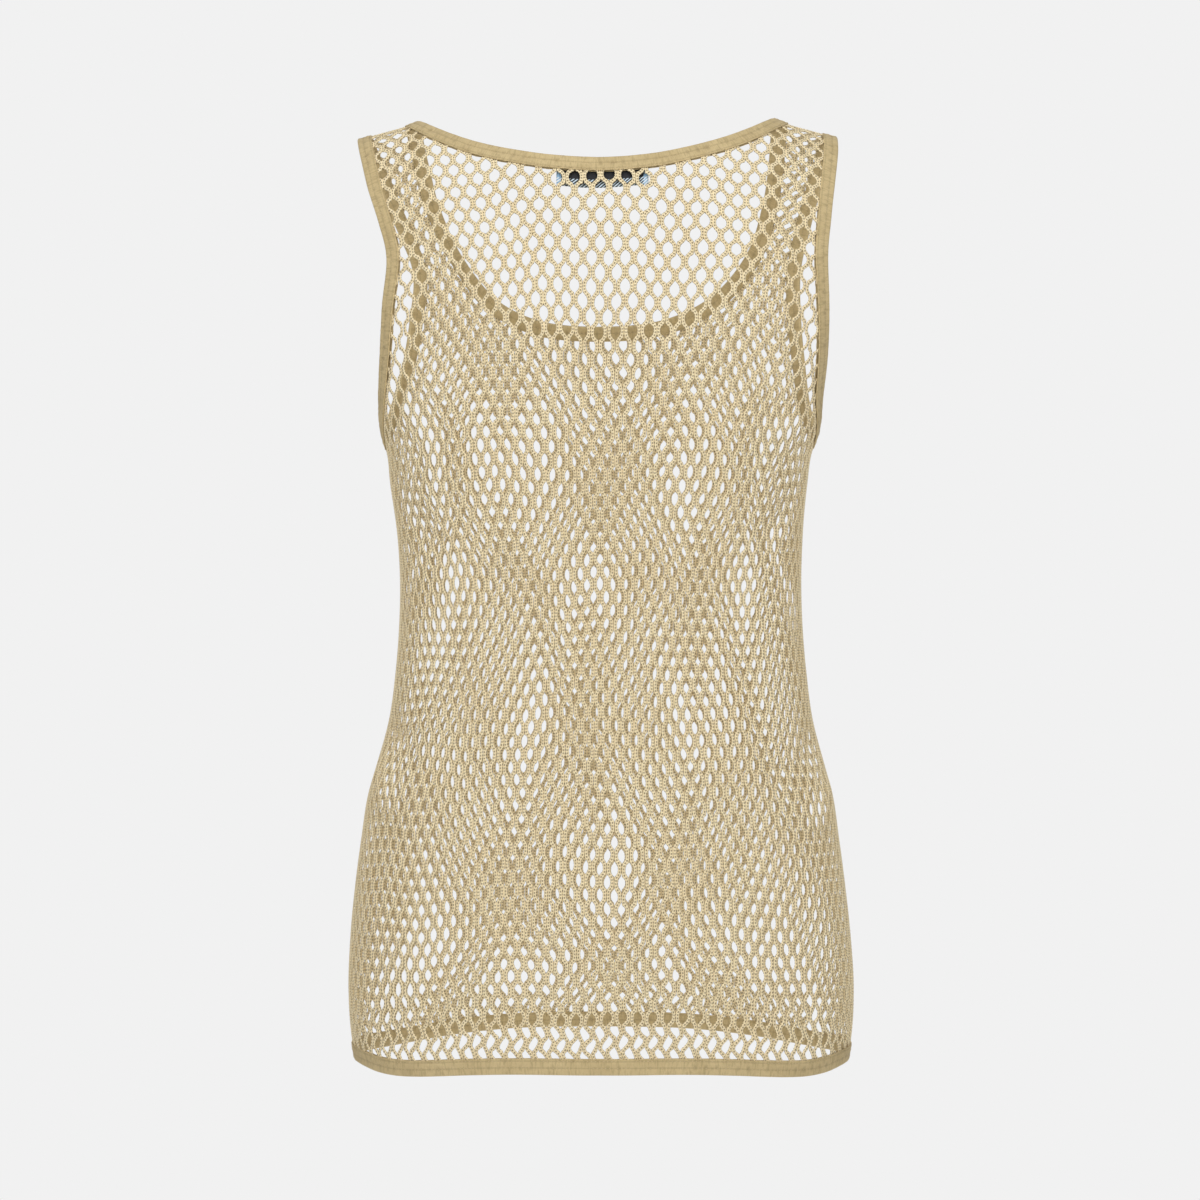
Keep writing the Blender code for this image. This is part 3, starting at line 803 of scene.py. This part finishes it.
def strip_section(width):
    """distance from the fold, height off the net and side of each corner of the section."""
    outer = []
    for share in SHARES:
        off = share * width
        high = (PANEL_HALF + LEAF) * np.sqrt(1 - (1 - min(share / FOLD_ROUND, 1)) ** 2)
        for row in STITCH_ROWS:
            high -= FURROW_DEEP * np.exp(-(((width - off - row) / FURROW_HALF) ** 2))
        if share == 1.0:
            high = PANEL_HALF + 0.45 * LEAF
        outer.append((off, high))
    inner = [(width, PANEL_HALF), (0.5 * width, PANEL_HALF), (1.0, PANEL_HALF)]
    upper, lower = ([(off, high, way) for off, high in outer[1:] + inner] for way in (1, -1))
    return [(0.0, 0.0, 1), *upper, *lower[::-1]]


# %% Lines beside an edge
def beside_edge(runs, off):
    """Points and normals of the back and of the front at that distance from the fold."""
    for side, turn, rise, heading in runs:
        place = walked(side, turn, rise, heading, off) if off else (turn, rise)
        yield cloth(side, *place), directions(side, *place)[2]


def closed_line(runs, off):
    """The back's line and the front's in one ring."""
    (first, n_first), (second, n_second) = beside_edge(runs, off)
    normal = np.concatenate((n_first, n_second[1:-1]))
    normal[0] = unit(n_first[0] + n_second[-1])
    normal[len(first) - 1] = unit(n_first[-1] + n_second[0])
    return np.concatenate((first, second[1:-1])), normal


def softness(along, total, off, width, rng):
    """Puckers beside the stitches, and slow waves."""
    near = np.exp(-(((width - off - STITCH_ROWS[0]) / 1.6) ** 2))
    pucker = 0.10 * np.sin(2 * np.pi * along / STITCH_STEP) * near
    waves = sum(
        0.09 * np.sin(2 * np.pi * (along / total) * n + off * rng.uniform(-0.5, 0.5) + p)
        for n, p in zip(rng.integers(9, 120, 6), rng.uniform(0, 6.3, 6))
    )
    return (pucker + waves) * min(off / 1.5, 1)


# %% Fold a strip round an edge
def fold_strip(name, width, runs, hand, seed):
    """A strip in a ring. runs has (side, turn, rise, heading) for the back and the front."""
    corners = strip_section(width)
    lines = [closed_line(runs, off) for off, _, _ in corners]
    fold = lines[0][0]
    along = gone(fold)
    total = along[-1] + np.linalg.norm(fold[-1] - fold[0])
    rng = np.random.default_rng(seed)
    points = []
    for (line, normal), (off, high, way) in zip(lines, corners):
        soft = softness(along, total, off, width, rng)
        lift = way * high + np.sign(way * high) * soft * (abs(high) > PANEL_HALF)
        points.append(line + lift[:, None] * normal)
    points = (np.stack(points, axis=1) * (hand, 1, 1)).reshape(-1, 3)
    ring = len(corners)
    a = np.arange(len(fold))[:, None] * ring + np.arange(ring)
    b = np.roll(a, -1, axis=0)
    quads = np.stack((a, b, np.roll(b, -1, axis=1), np.roll(a, -1, axis=1)), axis=2)
    quads = quads.reshape(-1, 4)
    p, q, r, s = (points[quads[:, k]] for k in range(4))
    if (np.cross(p, q) * r + np.cross(p, r) * s).sum() < 0:  # it would be inside out
        quads = quads[:, ::-1]
    over = np.tile([off * way for off, _, way in corners], len(fold))
    made = to_mesh(name, points, quads, (), over, np.repeat(along, ring), jersey[width])
    close_map(made, total)
    return made, total


def close_map(made, total):
    """Ends the map at the strip's full length instead of running back to its start."""
    layer = made.data.uv_layers["knitting"].data
    where = np.empty(len(layer) * 2, np.float32)
    layer.foreach_get("uv", where)
    where = where.reshape(-1, 4, 2)
    back = where[:, :, 1].max(axis=1) - where[:, :, 1].min(axis=1) > total / 2
    fix = back[:, None] & (where[:, :, 1] < total / 2)
    where[:, :, 1] = np.where(fix, total, where[:, :, 1])
    layer.foreach_set("uv", where.ravel())


def runs_of(fold, counts):
    """The back's line of an edge, then the front's, the other way round."""
    first, second = (fold(side, count) for side, count in zip(SIDES, counts))
    return (BACK, *first), (FRONT, *(line[::-1] for line in second))


# %% All four strips
STRIPS = {
    "neck_strip": (NECK_STRIP, runs_of(neck_fold, (150, 190)), 1),
    "left_armhole_strip": (ARM_STRIP, runs_of(arm_fold, (120, 120)), 1),
    "right_armhole_strip": (ARM_STRIP, runs_of(arm_fold, (120, 120)), -1),
    "hem_strip": (HEM_STRIP, runs_of(hem_fold, (260, 260)), 1),
}
strips = {}
for seed, (name, (width, runs, hand)) in enumerate(STRIPS.items()):
    made, total = fold_strip(f"{name}_cloth", width, runs, hand, seed + 3)
    strips[name] = (made, total)
    print(f"{name}: {total:.0f} mm round, {triangles(made)} triangles")

# %% [markdown]
# ## Stitches
# Two parallel rows of small stitches hold each strip, outside and inside. Each stitch is one
# slim lens of thread lying in the furrow that it has pulled.
# %% Sew a row of stitches
STITCH_SUNK = 0.18


def stitch_row(runs, width, from_edge, hand, outside):
    """Corners of one row of stitches round a strip, and their number."""
    (first, n_first), (second, n_second) = beside_edge(runs, width - from_edge)
    path, normal = np.concatenate((first, second[1:])), np.concatenate((n_first, n_second[1:]))
    along = gone(path)
    count = int(along[-1] / STITCH_STEP)
    at = (np.arange(count) + 0.5) * along[-1] / count
    up = unit(picked(at, along, normal)) * outside
    start = picked(at - STITCH_LONG / 2, along, path)
    end = picked(at + STITCH_LONG / 2, along, path)
    beside = unit(np.cross(end - start, up))
    lift = up * (PANEL_HALF + LEAF - STITCH_SUNK)
    middle = (start + end) / 2 + lift
    ring = [
        middle + STITCH_HALF * (np.cos(a) * beside + np.sin(a) * up)
        for a in np.radians((0, 90, 180, 270))
    ]
    points = np.stack([start + lift * 0.9, *ring, end + lift * 0.9], axis=1)
    return points.reshape(-1, 3) * (hand, 1, 1), count


def stitches(name, width, runs, hand):
    """Both rows of a strip's stitches, outside and inside, as one mesh."""
    points, faces, total = [], [], 0
    for outside in (1, -1):
        for from_edge in STITCH_ROWS:
            more, count = stitch_row(runs, width, from_edge, hand, outside)
            points.append(more)
            base = (np.arange(count) * 6 + total)[:, None]
            for k in range(4):
                a, b = (1 + k, 1 + (k + 1) % 4)[::hand]
                faces += [base + (0, a, b), base + (5, b, a)]
            total += count * 6
    faces = np.concatenate(faces).tolist()
    mesh = bpy.data.meshes.new(name)
    mesh.from_pydata((settled(np.concatenate(points)) / 1000).tolist(), [], faces)
    mesh.polygons.foreach_set("use_smooth", np.ones(len(faces), bool))
    mesh.materials.append(thread)
    return placed(name, mesh)


# %% Sew all the strips
sewing = {}
for name, (width, runs, hand) in STRIPS.items():
    sewing[name] = stitches(f"{name}_stitches", width, runs, hand)
    print(f"{name}: {len(sewing[name].data.vertices) // 6} stitches")

# %% [markdown]
# ## Seams
# The panels are joined at the sides and over the shoulders by narrow overlocked seams, which
# gather the cut ends of the yarns in a low ridge.
# %% Make a seam
SEAM_CORNERS, SEAM_BEAT = 8, 2.6  # corners round a seam, mm between its small swellings


def seam(name, turn, rise, hand, half_wide=1.7, half_thick=1.15):
    """A low ridge along a seam line that both panels share."""
    line = cloth(BACK, turn, rise)
    line[:, 1] = 0
    normal = directions(BACK, turn, rise)[2] + directions(FRONT, turn, rise)[2]
    normal = unit(normal * (1, 0, 1))
    beside = unit(np.cross(unit(np.gradient(line, axis=0)), normal))
    along = gone(line)
    beat = 1 + 0.10 * np.sin(2 * np.pi * along / SEAM_BEAT)[:, None]
    k = np.arange(SEAM_CORNERS)
    angles = np.radians(k * 360 / SEAM_CORNERS)
    ring = [
        line + beat * (half_wide * np.cos(a) * beside + half_thick * np.sin(a) * normal)
        for a in angles
    ]
    points = np.stack(ring, axis=1).reshape(-1, 3) * (hand, 1, 1)
    a = np.arange(len(line) - 1)[:, None] * SEAM_CORNERS
    b, after = a + SEAM_CORNERS, (k + 1) % SEAM_CORNERS
    quads = np.stack((a + k, b + k, b + after, a + after), axis=2)[..., ::hand].reshape(-1, 4)
    caps = [k[::hand], ((len(line) - 1) * SEAM_CORNERS + k[::-1])[::hand]]
    over = np.tile(np.cos(angles), len(line))
    return to_mesh(name, points, quads, caps, over, np.repeat(along, SEAM_CORNERS), net_yarn)


# %% Side and shoulder seams
SIDE_STEPS, TOP_STEPS = 420, 60
seams = {}
side_rise = np.linspace(above_hem(0.8), -0.013, SIDE_STEPS)
at_neck = walked(BACK, *neck_fold(BACK, 60), 0.8 * NECK_STRIP)[0][-1]
at_arm = walked(BACK, *arm_fold(BACK, 60), 0.8 * ARM_STRIP)[0][0]
top_turn = np.linspace(at_neck, at_arm, TOP_STEPS)
for hand, word in HANDS.items():
    side_seam = seam(f"{word}_side_seam", np.full(SIDE_STEPS, 90.0), side_rise, hand)
    top_seam = seam(f"{word}_shoulder_seam", top_turn, np.ones(TOP_STEPS), hand, 1.5, 1.1)
    seams[f"{word}_side"], seams[f"{word}_shoulder"] = side_seam, top_seam
print("seams:", ", ".join(seams))

# %% [markdown]
# ## The label
# A small woven tab of plain black tape hangs inside the back neck, tucked under the strip. Its
# lower edge has slanting pale stripes, and it carries no lettering.
# %% The label's tape
LABEL_HALF, LABEL_TUCK, LABEL_DROP = 31.0, 3.0, 11.5
WEAVE, STRIPE_STEP = 0.32, 2.6  # mm from one thread, or one stripe, to the next
STRIPES_LOW, PALE_ENDS = (8.3, 8.6), (3.4, 3.1)  # mm down the tape, mm from its ends
BLACK, STRIPE = (0.012, 0.013, 0.017), (0.66, 0.80, 0.90)
END_GROUND, END_STRIPE = (0.30, 0.50, 0.72), (0.86, 0.90, 0.92)


def label_material():
    s = Shader("woven_label")
    across, along = s.map()
    weft, warp = (s.size(s.math("SINE", s.times(way, PI / WEAVE))) for way in (along, across))
    slant = s.math("SUBTRACT", across, s.times(along, 1.1))
    pale = s.range(s.math("FRACT", s.math("DIVIDE", slant, STRIPE_STEP)), 0.50, 0.60)
    low = s.range(along, *STRIPES_LOW)
    end = s.range(s.size(across), *(LABEL_HALF - far for far in PALE_ENDS))
    ground, stripe = s.mix(end, BLACK, END_GROUND), s.mix(end, STRIPE, END_STRIPE)
    colour = s.mix(s.times(pale, low), ground, stripe)
    s.set(Base_Color=colour, Roughness=0.65, Normal=s.bump(s.times(weft, warp), 0.0001, 0.7))
    return s.material


tape = label_material()
print(f"{tape.name}: {len(tape.node_tree.nodes)} nodes")

# %% Make the label
LABEL_ASIDE = 1.6  # toward the wearer's right
LABEL_IN, TAPE_HALF, LABEL_SAG = 2.7, 0.3, 0.35


def make_label():
    turn, rise, heading = neck_fold(BACK, 600)
    arc = gone(cloth(BACK, turn, rise))
    arc -= arc[300] - LABEL_ASIDE
    at = np.linspace(-LABEL_HALF, LABEL_HALF, 49)
    turn, rise = np.interp(at, arc, turn), np.interp(at, arc, rise)
    heading = unit(picked(at, arc, heading))
    down = np.linspace(-LABEL_TUCK, LABEL_DROP, 15)
    front, back = [], []
    for far in down:
        place = walked(BACK, turn, rise, heading, NECK_STRIP + far)
        normal = directions(BACK, *place)[2]
        sag = LABEL_SAG * np.sin(at / 9.0) * np.clip(far / LABEL_DROP, 0, 1)
        base = cloth(BACK, *place) - (LABEL_IN + sag[:, None]) * normal
        base[:, 0] = at - LABEL_ASIDE
        front.append(base + TAPE_HALF * normal)
        back.append(base - TAPE_HALF * normal)
    points = np.concatenate((np.array(front), np.array(back))).reshape(-1, 3)
    shape = (2, len(down), len(at))
    f, b = np.arange(np.prod(shape)).reshape(shape)
    quads = [
        np.stack((f[:-1, :-1], f[:-1, 1:], f[1:, 1:], f[1:, :-1]), axis=2).reshape(-1, 4),
        np.stack((b[:-1, :-1], b[1:, :-1], b[1:, 1:], b[:-1, 1:]), axis=2).reshape(-1, 4),
    ]
    rim, under = (
        np.concatenate((leaf[0, :-1], leaf[:-1, -1], leaf[-1, :0:-1], leaf[:0:-1, 0]))
        for leaf in (f, b)
    )
    quads.append(np.stack((rim, under, np.roll(under, -1), np.roll(rim, -1)), axis=1))
    over = np.broadcast_to(at, shape).ravel()
    far = np.broadcast_to((down + LABEL_TUCK)[:, None], shape).ravel()
    return to_mesh("neck_label_tab", points, np.concatenate(quads), (), over, far, tape)


label = make_label()
print(f"label: {2 * LABEL_HALF:.0f} mm wide, {triangles(label)} triangles")

# %% [markdown]
# ## What each piece stands for
# Every piece rides on the one body, and the solids that the pieces stand for are hidden. The flat
# cut that each cloth was made from is printed.
# %% Riding on the body
for name, made in nets.items():
    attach(made, "root")
    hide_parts("back_panel" if name.startswith("back") else "front_panel")
for name, (made, total) in strips.items():
    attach(made, "root")
    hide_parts(name)
    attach(sewing[name], "root")
for made in seams.values():
    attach(made, "root")
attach(label, "root")
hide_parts("neck_label")

# %% Flat cuts
HALF_PANEL = {"back": (0.235, 0.66), "front": (0.235, 0.66)}


def skin(made):
    """Surface of a mesh in square metres."""
    return sum(p.area for p in made.data.polygons)


for name, made in nets.items():
    flat = HALF_PANEL[name.split("_")[0]]
    share = skin(made) / 2 / (flat[0] * flat[1])
    print(f"{name}: yarn covers {skin(made) / 2:.4f} m2, {share:.2f} of its {flat} m rectangle")
for name, (made, total) in strips.items():
    width = STRIPS[name][0]
    flat = (total / 1000, 2 * width / 1000)
    print(f"{name}: skin {skin(made):.4f} m2, cut {flat[0]:.3f} by {flat[1]:.3f} m")

# %% [markdown]
# ## Studio
# The top hangs in front of a plain pale ground, in soft light from both sides of the camera and
# from above, as clothes are usually photographed. A pale floor well below it throws light back.
# %% Floor
FLOOR_HALF, FLOOR_LEVEL, FLOOR_GLOW = 3.6, -1.45, 0.37


def make_floor():
    s = Shader("pale_floor")
    pale = s.mix(s.noise(3.0, 2.0), (0.82, 0.82, 0.82), (0.80, 0.80, 0.80))
    s.set(Base_Color=pale, Roughness=0.9, Emission_Color=pale, Emission_Strength=FLOOR_GLOW)
    mesh = bpy.data.meshes.new("floor")
    square = ((-1, -1), (1, -1), (1, 1), (-1, 1))
    corners = [(x * FLOOR_HALF, y * FLOOR_HALF, FLOOR_LEVEL) for x, y in square]
    mesh.from_pydata(corners, [], [(0, 1, 2, 3)])
    mesh.materials.append(s.material)
    made = placed("floor", mesh)
    made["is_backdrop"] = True
    return made


floor = make_floor()
print(f"floor {2 * FLOOR_HALF} m wide")

# %% World
FILL = 0.19  # light from all round, which the camera does not see
world = bpy.data.worlds.new("studio")
bpy.context.scene.world = world
world.use_nodes = True
nodes, links = world.node_tree.nodes, world.node_tree.links
ground = nodes["Background"]
ground.inputs["Color"].default_value = (0.88, 0.88, 0.88, 1)
fill = nodes.new("ShaderNodeBackground")
fill.inputs["Color"].default_value = (0.90, 0.90, 0.92, 1)
fill.inputs["Strength"].default_value = FILL
path, choose = nodes.new("ShaderNodeLightPath"), nodes.new("ShaderNodeMixShader")
links.new(path.outputs["Is Camera Ray"], choose.inputs[0])
links.new(fill.outputs[0], choose.inputs[1])
links.new(ground.outputs[0], choose.inputs[2])
links.new(choose.outputs[0], nodes["World Output"].inputs["Surface"])
print(f"{world.name} world: {len(nodes)} nodes")

# %% Lights
# name, place, height aimed at, size, power
SOFTBOXES = (
    ("left", (1.3, 2.3, 0.9), -0.2, 1.3, 29),
    ("right", (-1.3, 2.3, 0.9), -0.2, 1.3, 29),
    ("above", (0, 0.9, 1.5), -0.3, 1.2, 10),
    ("front left", (1.2, -2.2, 0.5), -0.3, 1.2, 18),
    ("front right", (-1.2, -2.2, 0.5), -0.3, 1.2, 18),
)
for word, place, aim, wide, power in SOFTBOXES:
    light = bpy.data.lights.new(f"softbox {word}", "AREA")
    light.shape, light.size, light.energy = "SQUARE", wide, power
    made = placed(light.name, light)
    made.location = place
    made.rotation_euler = (Vector((0, 0, aim)) - Vector(place)).to_track_quat("-Z", "Y").to_euler()
print(f"{len(SOFTBOXES)} softboxes, {sum(row[-1] for row in SOFTBOXES)} W in all")

# %% [markdown]
# ## Camera
# A long lens straight behind the top, level with its middle, as in studio pictures of clothes.
# A wide lens close by would swell the nearest part.
# %% Camera
CAMERA_AWAY, EYE, LENS = 2.3, -0.328, 98.57
lens = bpy.data.cameras.new("camera")
lens.lens, lens.sensor_width = LENS, 36.0
camera = placed("camera", lens)
look = Vector((0, -1, 0)).to_track_quat("-Z", "Y").to_matrix().to_4x4()
camera.matrix_world = Matrix.Translation((0, CAMERA_AWAY, EYE)) @ look
bpy.context.scene.camera = camera
bpy.context.scene.view_settings.view_transform = "Standard"
print(f"camera {CAMERA_AWAY} m behind, {LENS} mm lens")

# %% Finish
size = {"solid": [list(v) for v in solid_bounds], "shown": [list(v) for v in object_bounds()]}
print("solid", size["solid"], "shown", size["shown"])
